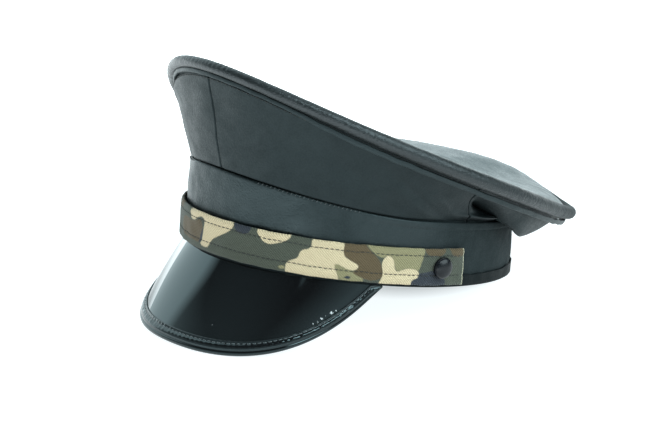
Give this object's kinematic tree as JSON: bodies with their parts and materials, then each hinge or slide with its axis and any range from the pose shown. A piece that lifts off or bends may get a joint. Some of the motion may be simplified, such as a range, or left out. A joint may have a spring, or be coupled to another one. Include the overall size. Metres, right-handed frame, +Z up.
{
  "type": "captain hat",
  "caption": "Leather captain hat with a wide sloping crown, a rolled rim, a camouflage cloth strap held by snaps and a stitched patent peak, lying on its peak and band.",
  "frame": {"origin": "on the surface that the hat lies on, below the middle of its bounding box", "axes": "+Z up from that surface; -Y is the hat's front, where the peak is, and +X is the wearer's left. The hat leans back about 12.5 degrees, because it lies on the edge of its peak and on the back of its band."},
  "size_m": [0.2112, 0.2972, 0.1621],
  "materials": {
    "leather": "semi-matte, fine grain",
    "top_leather": "semi-matte, fine grain",
    "patent_leather": "mirror gloss lacquer",
    "camouflage_cloth": "matte twill, woodland camouflage print",
    "black_lacquer": "glossy black lacquer"
  },
  "bodies": {
    "root": {"band": "leather", "band_hem": "leather", "strap": "camouflage_cloth", "snap_left": "black_lacquer", "snap_right": "black_lacquer", "quarter_left": "leather", "quarter_right": "leather", "rear_panel": "leather", "rim_roll": "leather", "rim_welt": "leather", "crown_top": "top_leather", "peak": "patent_leather", "peak_binding": "patent_leather"}
  },
  "joints": []
}
